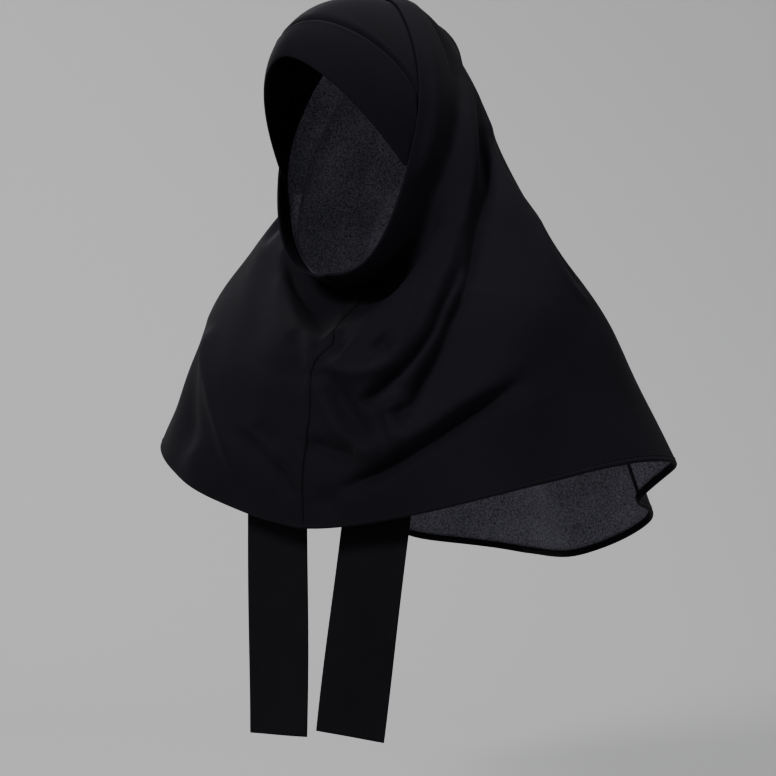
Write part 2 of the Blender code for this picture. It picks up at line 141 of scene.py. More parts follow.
folds = dict(
    # round the opening, +X side
    roll=fold([(165, .045), (128, .060), (106, .055), (88, .045), (72, .035)], .008, .011, .004),
    rollValley=fold([(170, .10), (148, .128), (134, .138), (120, .132), (104, .118), (89, .102)],
                    .006, .008, -.007, 1.7, (.3, .4)),
    edgeValley=fold([(112, .125), (89, .100), (72, .078), (48, .065), (32, .062), (17, .068), (0, .085)],
                    .014, .009, -.0105, 1.8, (.4, .2)),
    edgeLight=fold([(67, .118), (58, .115), (46, .108), (32, .102), (18, .105), (6, .118)],
                   .005, .010, .003, 1.7),
    longRidge=fold([(130, .150), (109, .148), (99, .165), (88, .203), (78, .245), (68, .295)],
                   .015, .007, .006, 1.8, (.3, .35)),
    longValley=fold([(128, .200), (113, .198), (98, .206), (85, .228), (78, .245), (73, .264), (68, .286),
                     (61, .318), (54, .340), (48, .369), (40, .411), (34, .447), (30, .492), (28, .535)],
                    .0048, .0068, -.0125, 1.8, (.2, .12)),
    longShade=fold([(116, .215), (98, .222), (84, .248), (74, .285), (66, .325)], .006, .018, -.0045, 1.8),
    # front, +X side
    sideValley=fold([(78, .215), (72, .240), (68, .255), (62, .268), (55, .290), (50, .312), (43, .336),
                     (36, .358), (29, .378), (24, .398), (19, .422), (15, .448)],
                    .0045, .0058, -.0120, 1.8, (.3, .15)),
    sideRoll=fold([(72, .258), (63, .285), (56, .313), (48, .345), (40, .378), (34, .410), (30, .445)],
                  .008, .008, .003, 1.8),
    sideLight=fold([(57, .185), (49, .225), (42, .275), (36, .318), (32, .345)], .012, .006, .003, 1.8),
    pinch=fold([(5, .262), (12, .290), (18, .320), (26, .343), (32, .355)],
               .008, .0055, .0065, 1.8, (.3, .08)),
    pinchLine=fold([(28, .300), (30, .330), (32, .354)], .004, .004, .0018, 1.8),
    hollowUpper=fold([(7, .180), (12, .212), (16, .245)], .013, .011, -.0050),
    hollowSide=fold([(31, .250), (32, .278), (31, .300)], .009, .009, -.0050),
    hollowLower=fold([(7, .335), (10, .400), (11, .480), (13, .560), (15, .625)], .012, .016, -.0085, 2.2),
    arc=fold([(5, .300), (5, .370), (6, .450), (8, .540), (12, .605), (15, .662), (17, .700)],
             .008, .006, .0065, 1.8),
    arcValley=fold([(0, .588), (4, .618), (8, .650), (12, .682)], .006, .010, -.0075, 1.7, (.2, .3)),
    curlInner=fold([(26, .420), (22, .473), (19, .535), (19, .598), (18, .647), (16, .675)],
                   .0055, .0050, .0042, 1.9),
    curlGroove=fold([(26, .458), (22, .500), (20.5, .555), (20.5, .625)], .0040, .0040, -.0032, 1.9),
    curlOuter=fold([(29, .430), (24.5, .478), (22.5, .515), (22.5, .575), (23, .630), (21, .655)],
                   .0050, .0050, .0046, 1.9),
    curlPocket=fold([(26, .490), (26, .540), (27, .575)], .009, .009, -.006),
    cowlRidge=fold([(64, .565), (54, .580), (48, .582), (41, .590), (33, .614), (26, .640), (20, .667),
                    (15, .700), (8, .738)], .014, .008, .0060, 1.8),
    cowlValley=fold([(60, .628), (52, .632), (46, .636), (41, .641), (36, .655), (32, .672), (27, .691),
                     (23, .713), (19, .737), (14, .769), (10, .800), (6, .832)],
                    .0042, .0070, -.0105, 1.7, (.3, .25)),
    lowHollow=fold([(2, .833), (4, .860), (7, .900)], .009, .010, -.0035),
    # front, -X side
    frontValley=fold([(-66, .168), (-53, .142), (-42, .133), (-30, .130), (-18, .136), (-3, .160),
                      (5, .188)], .012, .0050, -.0095, 1.7, (.4, .40)),
    frontRidge=fold([(-56, .172), (-40, .158), (-22, .165), (-5, .192), (1, .235), (1.5, .320), (-1, .420)],
                    .005, .009, .0048, 1.8, (.35, .4)),
    leftSoft=fold([(-16, .190), (-9, .225), (-7, .270), (-8, .33)], .012, .010, -.0025),
    creaseRidge=fold([(-22, .555), (-16, .600), (-10, .660), (-6, .720)], .012, .005, .0040, 1.7, (.6, .3)),
    crease=fold([(-20, .600), (-13, .647), (-8, .705), (-4, .768), (-2.5, .815), (-1.5, .855)],
                .0035, .0080, -.0065, 1.6, (.25, .2)),
    softHollow=fold([(-15, .550), (-11, .595), (-6, .628)], .012, .010, -.0045),
    lowRidge=fold([(-66, .450), (-58, .468), (-42, .503), (-32, .580), (-26, .652), (-20, .760),
                   (-16, .880)], .010, .010, .0065, 1.7, (.25, .35)),
    lowSideHollow=fold([(-78, .50), (-66, .58), (-52, .66), (-42, .76), (-36, .86)], .016, .016, -.005),
    # back, then the -X side, which the photograph doesn't show
    backRidge=fold([(108, .375), (106, .400), (101, .432), (98, .468), (96, .505), (96, .542), (97, .59)],
                   .0045, .0055, .0026, 1.8),
    backGroove=fold([(112, .400), (107, .440), (104, .475), (102, .510), (102, .545)],
                    .0040, .0060, -.0030, 1.8),
    backValley=fold([(124, .26), (121, .38), (121, .50), (124, .62)], .014, .014, -.007, 1.8),
    backHollow=fold([(150, .20), (146, .30), (142, .42)], .013, .013, -.007),
    backFold=fold([(164, .16), (160, .28), (156, .42)], .012, .014, .006),
    rightRoll=fold([(-165, .045), (-128, .060), (-104, .055), (-84, .045), (-66, .04)],
                   .008, .011, .004),
    rightRollValley=fold([(-168, .10), (-146, .125), (-124, .125), (-100, .108), (-78, .092), (-56, .085)],
                         .009, .009, -.010, 1.8),
    rightLongRidge=fold([(-160, .140), (-140, .145), (-120, .165), (-102, .185), (-90, .21)],
                        .014, .008, .003, 1.8),
    rightLongValley=fold([(-158, .17), (-138, .18), (-118, .200), (-102, .225), (-90, .26), (-84, .30)],
                         .008, .014, -.008, 1.7),
    rightSideFold=fold([(-120, .25), (-100, .32), (-88, .40), (-80, .50)], .010, .014, .001),
    rightSideValley=fold([(-122, .30), (-106, .40), (-96, .50), (-92, .60)], .010, .014, -.008),
    rightBack=fold([(-152, .20), (-146, .32), (-140, .44)], .013, .013, -.008),
)

# Flutes of the hanging back, which stay open to the hem: degrees round the loop at their top, middle
# and hem, the height where they begin, and width and height at the hem
flutes = [
    (116, 122, 127, .42, .029, -.031),
    (140, 141, 143, .45, .018, .005),
    (166, 165, 164, .45, .030, -.016),
    (184, 184, 183, .40, .030, .010),
    (204, 204, 203, .48, .030, -.017),
    (225, 225, 225, .40, .032, .013),
    (250, 248, 247, .48, .027, -.016),
    (272, 270, 268, .55, .026, .008),
    (60, 58, 56, .72, .030, -.004),
    (-36, -34, -33, .74, .026, .004),
]


def foldHeight(points, one):
    # A bell across the path, exp(-(distance/width) ** sharp), growing and fading along it by a sine
    path = np.array(one["path"], float)
    along = np.linspace(0, 1, 40 * len(path))
    line = throughRows(np.linspace(0, 1, len(path)), path, along)
    turn, down = np.radians(line[:, 0]), np.clip(line[:, 1], 0, 1)
    spots = smoothDrape(turn, down)
    widest = max(one["above"], one["below"])
    result = np.zeros(points.shape[:-1])
    low, high = spots.min(0) - 3 * widest, spots.max(0) + 3 * widest
    close = np.all((points > low) & (points < high), axis=-1)
    near = points[close]
    if not len(near):
        return result
    away = np.linalg.norm(near[:, None] - spots, axis=-1)
    nearest = away.argmin(axis=1)
    away = away[np.arange(len(near)), nearest]
    forward = unit(np.gradient(spots, axis=0))
    towardsHem = slopes(smoothDrape, turn, down)[1]
    sideways = unit(towardsHem - forward * np.sum(towardsHem * forward, axis=-1, keepdims=True))
    offset = np.sum((near - spots[nearest]) * sideways[nearest], axis=-1)
    blend = 0.5 + 0.5 * np.tanh(2 * offset / widest)
    width = one["above"] + (one["below"] - one["above"]) * blend
    place = along[nearest]
    start, end = one["fade"]
    strength = (np.sin(np.pi / 2 * np.clip(place / start, 0, 1))
                * np.sin(np.pi / 2 * np.clip((1 - place) / end, 0, 1)))
    result[close] = one["height"] * strength * np.exp(-(away / width) ** one["sharp"])
    return result


def fluteHeight(around, down, points):
    # A bell across the angle, as wide in metres as the row says. Its height grows as way * (2 - way)
    # from where the flute begins to the hem.
    total = np.zeros(points.shape[:-1])
    reach = np.linalg.norm(points[..., :2] - np.array([0.0, 0.04]), axis=-1)
    for top, middle, hem, begins, width, height in flutes:
        way = np.clip((down - begins) / (1 - begins), 0, 1)
        centre = np.radians(top + (hem - top) * way + (2 * middle - top - hem) * 2 * way * (1 - way))
        angle = (around - centre + np.pi) % (2 * np.pi) - np.pi
        total += height * way * (2 - way) * np.exp(-(angle * reach / width) ** 2)
    return total


def ripples(points):
    # Small unevenness of hanging cloth: three crossing waves of different lengths
    x, y, z = points[..., 0], points[..., 1], points[..., 2]
    return 0.0005 * (np.sin(61 * x + 23 * z + 2 * np.sin(31 * y)) + np.sin(47 * y - 39 * z + 1.3)
                     + 0.6 * np.sin(97 * x - 71 * y + 58 * z))


seam = dict(
    places=[(0.00, 0.0), (0.077, 0.0), (0.103, 0.4), (0.125, 1.6), (0.150, 4.2), (0.168, 7.0),
            (0.203, 8.6), (0.228, 6.4), (0.253, 4.2), (0.288, 2.6), (0.345, 1.8), (0.417, 1.2),
            (0.503, 0.4), (0.60, 0.0), (1.00, 0.0)],
    step=0.0016, reach=0.0070, edge=0.0012, groove=0.0012, depth=0.0010,
    slant=1.05,         # the cloth runs this much longer than the level arc
)


def fromSeam(around, down, points):
    # Signed metres round the cloth from the seam down the middle of the front: the angle from it
    # times the radius there
    places = np.array(seam["places"])
    at = np.radians(throughRows(places[:, 0], places[:, 1:], down.ravel())[:, 0].reshape(down.shape))
    angle = (around - at + np.pi) % (2 * np.pi) - np.pi
    reach = np.linalg.norm(points[..., :2], axis=-1)
    width = drape["edgeHalf"] + (drape["hemHalf"] - drape["edgeHalf"]) * down
    return angle * np.maximum(width, reach) * seam["slant"]


backSeam = dict(
    places=[(0.50, 180.0), (0.53, 160.0), (0.58, 146.0), (0.66, 135.0), (0.76, 128.0), (0.88, 126.0),
            (1.00, 127.5)],
)


def fromBackSeam(around, down, points):
    # Metres from the pointed seam of the back panel, below nought inside the panel: the distance to
    # the nearest place on the line, with the sign of the angle's side
    places = np.array(backSeam["places"])
    way = np.linspace(places[0, 0], 1, 160)
    line = np.radians(throughRows(places[:, 0], places[:, 1:], way)[:, 0])
    turn = np.concatenate([line, -line])
    spots = smoothDrape(turn, np.concatenate([way, way]))
    flat = points.reshape(-1, 3)
    away = np.empty(len(flat))
    for start in range(0, len(flat), 4000):
        part = flat[start:start + 4000]
        away[start:start + 4000] = np.linalg.norm(part[:, None] - spots, axis=-1).min(axis=1)
    inside = np.abs(around) > np.interp(down, way, line)
    inside &= down > places[0, 0]
    return np.where(inside, -1, 1) * away.reshape(points.shape[:-1])


def seamHeight(around, down, points):
    # A step that falls back over reach: (1 - tanh(away/edge))/2 times exp(-(away/reach)**2), and a
    # narrow groove beside it
    away = fromSeam(around, down, points)
    step = 0.5 - 0.5 * np.tanh(away / seam["edge"])
    return (seam["step"] * step * np.exp(-(away / seam["reach"]) ** 2)
            - seam["depth"] * np.exp(-(away / seam["groove"]) ** 2))


def foldedDrape(around, down, outwards=0.0):
    # The smooth drape moved along its own normal by all the folds
    around, down = np.broadcast_arrays(np.asarray(around, float), np.asarray(down, float))
    points = smoothDrape(around, down)
    height = fluteHeight(around, down, points) + ripples(points) * np.clip(down * 8, 0, 1)
    for one in folds.values():
        height = height + foldHeight(points, one)
    height = height + seamHeight(around, down, points)
    return points + outOf(smoothDrape, around, down) * (height + outwards)[..., None]


# Meshes from grids

def arcLengths(grid):
    # Way along the rows and along the columns, in metres, for the weave to follow
    u = np.zeros(grid.shape[:2])
    v = np.zeros(grid.shape[:2])
    u[1:] = np.cumsum(np.linalg.norm(np.diff(grid, axis=0), axis=-1), axis=0)
    v[:, 1:] = np.cumsum(np.linalg.norm(np.diff(grid, axis=1), axis=-1), axis=1)
    return u, v


def gridMesh(name, grid, materials, ways=None):
    # Quads between neighbouring points of a grid. A closed grid holds its first line twice, and
    # doubles are merged. Ways are the distances of each point from the two seams.
    m, n = grid.shape[:2]
    i, j = np.meshgrid(np.arange(m - 1), np.arange(n - 1), indexing="ij")
    i, j = i.ravel(), j.ravel()
    corners = np.stack([i * n + j, i * n + j + 1, (i + 1) * n + j + 1, (i + 1) * n + j], axis=1)
    u, v = arcLengths(grid)
    mesh = bpy.data.meshes.new(name)
    mesh.from_pydata(grid.reshape(-1, 3), [], corners)
    layer = mesh.uv_layers.new(name="cloth")
    flat = np.stack([u.ravel(), v.ravel()], axis=1)[corners.ravel()]
    layer.data.foreach_set("uv", flat.ravel().astype(np.float32))
    if ways is not None:
        layer = mesh.uv_layers.new(name="seams")
        layer.data.foreach_set("uv", ways.reshape(-1, 2)[corners.ravel()].ravel().astype(np.float32))
    work = bmesh.new()
    work.from_mesh(mesh)
    bmesh.ops.remove_doubles(work, verts=work.verts, dist=2e-6)
    work.to_mesh(mesh)
    work.free()
    mesh.shade_smooth()
    for material in materials:
        mesh.materials.append(material)
    piece = bpy.data.objects.new(name, mesh)
    bpy.context.scene.collection.objects.link(piece)
    print("made", name, len(mesh.vertices), "points")
    return piece


def flatTube(name, sheet, alongs, thickness, rim, materials):
    # A closed cloth tube pressed flat. Round its profile, across runs there and back between -1 and
    # 1 while the cloth lies above and then below the middle sheet; the rims are half ellipses.
    side = np.linspace(-1, 1, rim["across"])
    turn = np.linspace(0, np.pi, rim["round"] + 2)[1:-1]
    across = np.concatenate([side, 1 + rim["width"] * np.sin(turn), side[::-1],
                             -1 - rim["width"] * np.sin(turn), side[:1]])
    lift = np.concatenate([np.ones_like(side), np.cos(turn), -np.ones_like(side), -np.cos(turn), [1.0]])
    grid = sheet(alongs[:, None], np.broadcast_to(across, (len(alongs), len(across))))
    e = 1e-3
    a, b = np.broadcast_arrays(alongs[:, None], across[None, :])
    first = sheet(a + e, b) - sheet(a - e, b)
    second = sheet(a, b + e) - sheet(a, b - e)
    normal = unit(np.cross(first, second))
    ends = np.ones(len(alongs))
    ends[0] = ends[-1] = 0.0
    ends[1] = ends[-2] = 0.7
    grid = grid + normal * (lift[None, :] * ends[:, None] * thickness / 2)[..., None]
    return gridMesh(name, grid, materials)


print("surfaces ready")

# Cloth materials

def newMaterial(name):
    # A new material with its shader, ready for nodes
    material = bpy.data.materials.new(name)
    material.use_nodes = True
    tree = material.node_tree
    return material, tree, tree.nodes["Principled BSDF"]


def add(tree, kind, inputs=(), **settings):
    # A node with its settings, each input linked or given its value
    node = tree.nodes.new(kind)
    for key, value in settings.items():
        setattr(node, key, value)
    for key, value in dict(inputs).items():
        if isinstance(value, bpy.types.NodeSocket):
            tree.links.new(value, node.inputs[key])
        else:
            node.inputs[key].default_value = value
    return node


def mixColours(tree, amount, first, second, blend="MIX"):
    # The second colour over the first by the amount
    node = add(tree, "ShaderNodeMix", data_type="RGBA", blend_type=blend)
    sockets = node.inputs["Factor"], node.inputs[6], node.inputs[7]
    for socket, value in zip(sockets, (amount, first, second)):
        if isinstance(value, bpy.types.NodeSocket):
            tree.links.new(value, socket)
        else:
            socket.default_value = value
    return node.outputs[2]


def scaled(tree, value, factor, added=0.0):
    # value * factor + added
    node = add(tree, "ShaderNodeMath", {0: value, 1: factor, 2: added}, operation="MULTIPLY_ADD")
    return node.outputs[0]


def between(tree, value, low, high, soft=0.00025):
    # 1 where the value lies between low and high, with a soft edge
    rises = add(tree, "ShaderNodeMapRange", {"Value": value, "From Min": low - soft,
                                             "From Max": low + soft}).outputs["Result"]
    falls = add(tree, "ShaderNodeMapRange", {"Value": value, "From Min": high + soft,
                                             "From Max": high - soft}).outputs["Result"]
    return add(tree, "ShaderNodeMath", {0: rises, 1: falls}, operation="MULTIPLY").outputs[0]


def clothMaterial(name, look):
    # Woven crepe. Threads are two sine bands across the cloth's own flat coordinates, pebbles are
    # fine noise, and cloud is the slow unevenness of a dyed cloth. Sheen stands for the loose fibres.
    material, tree, shader = newMaterial(name)
    flat = add(tree, "ShaderNodeUVMap", uv_map="cloth").outputs["UV"]
    space = add(tree, "ShaderNodeTexCoord").outputs["Object"]
    threads = []
    for direction in ("X", "Y"):
        wave = add(tree, "ShaderNodeTexWave", {"Vector": flat, "Scale": look["threads"] / 20,
                                               "Distortion": 0.6, "Detail": 1.0, "Detail Scale": 2.0},
                   wave_type="BANDS", bands_direction=direction, wave_profile="SIN")
        threads.append(wave.outputs["Fac"])
    weave = add(tree, "ShaderNodeMath", {0: threads[0], 1: threads[1]}, operation="MULTIPLY").outputs[0]
    pebble = add(tree, "ShaderNodeTexNoise", {"Vector": space, "Scale": look["pebbles"], "Detail": 3.0,
                                              "Roughness": 0.6}).outputs["Fac"]
    cloud = add(tree, "ShaderNodeTexNoise", {"Vector": space, "Scale": 14.0, "Detail": 4.0,
                                             "Roughness": 0.55}).outputs["Fac"]
    crumple = add(tree, "ShaderNodeTexNoise", {"Vector": space, "Scale": look["crumple"], "Detail": 2.0,
                                               "Roughness": 0.5, "Distortion": 0.4}).outputs["Fac"]
    spread = add(tree, "ShaderNodeMapRange", {"Value": cloud, "From Min": 0.3, "From Max": 0.7})
    colour = mixColours(tree, spread.outputs["Result"], look["darker"], look["lighter"])
    grain = add(tree, "ShaderNodeMapRange", {"Value": pebble, "From Min": 0.35, "From Max": 0.65,
                                             "To Min": 1.0 - look["grain"], "To Max": 1.0 + look["grain"]})
    colour = mixColours(tree, 1.0, colour, grain.outputs["Result"], "MULTIPLY")
    lines = None
    if "seamWidth" in look:
        # Crisp lines along the seams, darkened as painted shade of their grooves, and on the reverse the
        # black allowance beside them
        ways = add(tree, "ShaderNodeSeparateXYZ",
                   {"Vector": add(tree, "ShaderNodeUVMap", uv_map="seams").outputs["UV"]}).outputs
        dark = look["seamShadeAndAllowanceColour"]
        for way in (ways["X"], ways["Y"]):
            line = between(tree, way, -look["seamWidth"], look["seamWidth"])
            lines = line if lines is None else add(
                tree, "ShaderNodeMath", {0: lines, 1: line}, operation="MAXIMUM").outputs[0]
            if look["allowance"]:
                strip = between(tree, way, -0.1 * look["allowance"], look["allowance"])
                colour = mixColours(tree, strip, colour, dark)
        # Painted shade: the seam lines are darkened towards the dark colour, as shade in their grooves
        colour = mixColours(tree, scaled(tree, lines, look["seamDark"], 0.0), colour, dark)
    tree.links.new(colour, shader.inputs["Base Color"])
    rough = scaled(tree, pebble, 0.10, look["roughness"] - 0.05)
    tree.links.new(rough, shader.inputs["Roughness"])
    shader.inputs["Specular IOR Level"].default_value = look["specular"]
    shader.inputs["Sheen Weight"].default_value = look["sheen"]
    shader.inputs["Sheen Roughness"].default_value = look["sheenRoughness"]
    shader.inputs["Sheen Tint"].default_value = look["sheenTint"]
    fine = add(tree, "ShaderNodeBump", {"Height": weave, "Strength": look["weaveBump"],
                                        "Distance": 0.0001}).outputs["Normal"]
    fine = add(tree, "ShaderNodeBump", {"Height": pebble, "Strength": look["pebbleBump"],
                                        "Distance": 0.00025, "Normal": fine}).outputs["Normal"]
    broad = add(tree, "ShaderNodeBump", {"Height": crumple, "Strength": look["crumpleBump"],
                                         "Distance": 0.002, "Normal": fine}).outputs["Normal"]
    if lines is not None:
        broad = add(tree, "ShaderNodeBump", {"Height": lines, "Strength": 1.0, "Distance": 0.0007,
                                             "Normal": broad}, invert=True).outputs["Normal"]
    tree.links.new(broad, shader.inputs["Normal"])
    return material


def thicken(piece, thickness, inner=False):
    # Gives a sheet its thickness to both sides; the inner side may have its own material
    wall = piece.modifiers.new("wall", "SOLIDIFY")
    wall.thickness = thickness
    wall.offset = 0.0
    wall.use_even_offset = False
    wall.material_offset = 1 if inner else 0
    wall.material_offset_rim = 0


def place(piece, nodes, slot):
    # Rides on the root body in place of the solids' nodes
    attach(piece, "root")
    if nodes:
        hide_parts(*nodes)
    return piece


outerLook = dict(
    darker=(0.0036, 0.0030, 0.0048, 1), lighter=(0.0048, 0.0040, 0.0062, 1), grain=0.16,
    roughness=0.80, specular=0.055, sheen=0.010, sheenRoughness=0.5, sheenTint=(0.72, 0.70, 0.86, 1),
    threads=2800.0, pebbles=1400.0, crumple=42.0,
    weaveBump=0.35, pebbleBump=0.30, crumpleBump=0.10,
)
reverseLook = dict(
    outerLook, darker=(0.072, 0.071, 0.088, 1), lighter=(0.125, 0.122, 0.152, 1), grain=0.60,
    pebbles=620.0, roughness=0.85, specular=0.1, sheen=0.03,
    # The dark colour is the black allowance strip and the painted shade of the seam lines
    seamWidth=0.0004, seamDark=0.8, allowance=0.0062, seamShadeAndAllowanceColour=(0.006, 0.0055, 0.0075, 1),
)
# On the outside the dark colour is only painted shade along the seam lines; there is no allowance strip
capeLook = dict(outerLook, seamWidth=0.0005, seamDark=0.85, allowance=0.0,
                seamShadeAndAllowanceColour=(0.0008, 0.0007, 0.0010, 1))
tieLook = dict(
    outerLook, darker=(0.0034, 0.0029, 0.0043, 1), lighter=(0.0044, 0.0038, 0.0055, 1), crumple=26.0,
)
threadLook = dict(darker=(0.0050, 0.0045, 0.0065, 1), lighter=(0.0080, 0.0075, 0.0105, 1))

outerCloth = clothMaterial("blackCrepe", outerLook)
capeCloth = clothMaterial("seamedCrepe", capeLook)
reverseCloth = clothMaterial("greyReverse", reverseLook)
tieCloth = clothMaterial("tieCrepe", tieLook)


def threadMaterial(name, look):
    # Dull sewing thread, its plies seen as fine slanting bands
    material, tree, shader = newMaterial(name)
    space = add(tree, "ShaderNodeTexCoord").outputs["Object"]
    plies = add(tree, "ShaderNodeTexWave", {"Vector": space, "Scale": 420.0, "Distortion": 0.3},
                bands_direction="DIAGONAL").outputs["Fac"]
    tree.links.new(mixColours(tree, plies, look["darker"], look["lighter"]), shader.inputs["Base Color"])
    tree.links.new(add(tree, "ShaderNodeBump", {"Height": plies, "Strength": 0.4,
                                                "Distance": 0.0001}).outputs["Normal"],
                   shader.inputs["Normal"])
    shader.inputs["Roughness"].default_value = 0.7
    shader.inputs["Specular IOR Level"].default_value = 0.1
    return material


thread = threadMaterial("thread", threadLook)
print("materials ready")

# Cape

cape = dict(
    columns=284, rows=148, wall=0.0010,
    crowding=0.55, crowded=math.radians(42.0),      # columns stand closer at the front's +X side
    rowPower=1.15,                                  # rows stand closer towards the hood edge
    edgeRound=0.0007, facing=0.019, facingRows=8,   # the hood edge is folded round this radius and
    roundRows=6,                                    # turned in by this much
    firstDown=0.002, hemGap=0.0012,                 # where the outside rows begin, and end above the hem
    flat=(0.90, 0.62), flatArea=0.40,
)


def capeColumns(count):
    # Angles round the loop, from -pi to pi, closer together about the crowded angle
    even = np.linspace(-np.pi, np.pi, count + 1)
    return even - cape["crowding"] * (np.sin(even - cape["crowded"]) - np.sin(-np.pi - cape["crowded"]))


def hemLength(around):
    # Metres of cloth for a whole unit of down, just above the hem
    last = smoothDrape(around[:, None], np.array([[0.97, 1.0]]))
    return np.linalg.norm(last[:, 1] - last[:, 0], axis=-1) / 0.03


def hoodLength(around):
    # The same just below the hood edge
    first = smoothDrape(around[:, None], np.array([[0.0, 0.03]]))
    return np.linalg.norm(first[:, 1] - first[:, 0], axis=-1) / 0.03


def makeCape():
    # Rows of the one sheet: the facing from its raw edge forward, the round of the fold, and the
    # drape from hood edge to hem. The round is a half circle between the two layers.
    around = capeColumns(cape["columns"])
    r, top = cape["edgeRound"], cape["firstDown"]
    start = np.full_like(around, top)
    reach = cape["facing"] / hoodLength(around)
    back = np.linspace(1, 0, cape["facingRows"] + 1)[:-1]
    inside = foldedDrape(around[:, None], top + reach[:, None] * back[None, :], -2 * r)
    edge = foldedDrape(around, start)
    normal = outOf(smoothDrape, around, start)
    towards = -slopes(smoothDrape, around, start)[1]
    turn = np.linspace(0, np.pi, cape["roundRows"] + 2)[1:-1]
    roundRows = (edge[:, None] - normal[:, None] * (r + r * np.cos(turn))[None, :, None]
                 + towards[:, None] * (r * np.sin(turn))[None, :, None])
    last = 1 - cape["hemGap"] / hemLength(around)
    share = np.linspace(0, 1, cape["rows"]) ** cape["rowPower"]
    down = top + (last[:, None] - top) * share[None, :]
    outside = foldedDrape(around[:, None], down)
    grid = np.concatenate([inside, roundRows, outside], axis=1)
    level = np.broadcast_to(start[:, None], (len(around), cape["roundRows"]))
    downAll = np.concatenate([top + reach[:, None] * back[None, :], level, down], axis=1)
    aroundAll = np.broadcast_to(around[:, None], downAll.shape)
    smooth = smoothDrape(aroundAll, downAll)
    ways = np.stack([fromSeam(aroundAll, downAll, smooth),
                     fromBackSeam(aroundAll, downAll, smooth)], axis=-1)
    piece = gridMesh("drapedCape", grid, [capeCloth, reverseCloth], ways)
    thicken(piece, cape["wall"], inner=True)
    return place(piece, ["cape"], "face_cloth")


capePiece = makeCape()

# Hem

hem = dict(round=0.0010, up=0.0044, lap=0.0030, wall=0.0011, roundRows=7, upRows=6)


def makeHem():
    # The cape's lower edge: down the outside by lap, round a half circle and up the inside
    around = capeColumns(cape["columns"])
    down = np.ones_like(around)
    foot = foldedDrape(around, down)
    above = foldedDrape(around, 1 - hem["lap"] / hemLength(around))
    fall = unit(foot - above)
    along = unit(np.gradient(foot, axis=0))
    normal = unit(np.cross(fall, along))
    r = hem["round"]
    turn = np.linspace(0, np.pi, hem["roundRows"])
    lower = np.concatenate([[-hem["lap"], -0.5 * hem["lap"]], -r + r * np.sin(turn),
                            -r - hem["up"] * np.linspace(0, 1, hem["upRows"] + 1)[1:]])
    inwards = np.concatenate([[0, 0], r - r * np.cos(turn), np.full(hem["upRows"], 2 * r)])
    grid = foot[:, None] + fall[:, None] * lower[None, :, None] - normal[:, None] * inwards[None, :, None]
    piece = gridMesh("turnedHem", grid, [outerCloth])
    thicken(piece, hem["wall"])
    return place(piece, ["hem_turn"], "hem_cloth")


hemPiece = makeHem()


def stitchMesh(name, spots, forward, outward, length, thick, material):
    # A run of stitches: each is a slim six-sided spindle, sunk at its two ends. Round it, the points
    # are at cos and sin of six even turns; along it, its four rings have girth's shares of the
    # thickness and lie that much higher.
    steps = np.array([-0.5, -0.25, 0.25, 0.5])
    girth = np.array([0.35, 1.0, 1.0, 0.35])
    turn = np.linspace(0, 2 * np.pi, 7)[:-1]
    side = np.cross(forward, outward)
    centre = (spots[:, None] + forward[:, None] * (steps * length)[None, :, None]
              + outward[:, None] * ((girth - 0.75) * thick)[None, :, None])
    ring = (side[:, None, None] * np.cos(turn)[None, None, :, None]
            + outward[:, None, None] * np.sin(turn)[None, None, :, None])
    points = centre[:, :, None] + ring * (girth * thick / 2)[None, :, None, None]
    count = len(spots)
    base = np.arange(count)[:, None, None] * 24
    i, j = np.meshgrid(np.arange(3), np.arange(6), indexing="ij")
    a, b = i * 6 + j, i * 6 + (j + 1) % 6
    quads = (base[..., None] + np.stack([a, a + 6, b + 6, b], axis=-1)[None]).reshape(-1, 4)
    caps = np.concatenate([base[:, 0, 0, None] + np.arange(6)[None, :],
                           base[:, 0, 0, None] + np.arange(23, 17, -1)[None, :]])
    mesh = bpy.data.meshes.new(name)
    mesh.from_pydata(points.reshape(-1, 3), [], quads.tolist() + caps.tolist())
    mesh.shade_smooth()
    mesh.materials.append(material)
    piece = bpy.data.objects.new(name, mesh)
    bpy.context.scene.collection.objects.link(piece)
    print("made", name, count, "stitches")
    return piece


def evenly(line, step):
    # Places at even distances along a line of points, with the direction there
    away = np.concatenate([[0], np.cumsum(np.linalg.norm(np.diff(line, axis=0), axis=1))])
    at = np.arange(step / 2, away[-1], step)
    spots = np.stack([np.interp(at, away, line[:, k]) for k in range(3)], axis=1)
    ahead = np.stack([np.interp(at + step / 4, away, line[:, k]) for k in range(3)], axis=1)
    return at / away[-1], spots, unit(ahead - spots)


hemStitch = dict(above=0.0046, step=0.0031, length=0.0022, thick=0.00050, clear=0.0001,
                 probe=0.004)       # down to the next line above, which gives the cloth's normal


def makeHemStitches():
    # A line on the cape at an even distance above the hem, with a stitch at every step
    around = capeColumns(900)
    down = 1 - hemStitch["above"] / hemLength(around)
    lift = cape["wall"] / 2 + hemStitch["clear"]
    line = foldedDrape(around, down, lift)
    share, spots, forward = evenly(line, hemStitch["step"])
    high = foldedDrape(around, down - hemStitch["probe"], lift)
    normal = unit(np.cross(line - high, np.gradient(line, axis=0)))
    away = np.concatenate([[0], np.cumsum(np.linalg.norm(np.diff(line, axis=0), axis=1))])
    outward = unit(np.stack([np.interp(share, away / away[-1], normal[:, k]) for k in range(3)], axis=1))
    outward = unit(outward - forward * np.sum(outward * forward, axis=1, keepdims=True))
    piece = stitchMesh("hemStitches", spots, forward, outward,
                       hemStitch["length"], hemStitch["thick"], thread)
    return place(piece, [], "hem_cloth")


hemStitches = makeHemStitches()

# Brow band and crown panel

cap = dict(
    browHalf=0.084, browReach=0.112, browDrop=0.056, browTurn=math.radians(67.0), dropPower=1.75,
    ovalHeight=0.118, corner=math.radians(74.0), cornerShow=0.005,
    tuck=1.30, tuckFrom=0.965,           # the band's corners lie under the hood
    # the seam's place between brow edge and hood edge, and its dip
    seamMiddle=0.33, seamCorner=0.73, dip=0.13, dipAt=-0.22, dipWidth=0.20,
    inwards=-0.0026, underlap=0.0493, underTo=1.85, bulge=0.055,
)


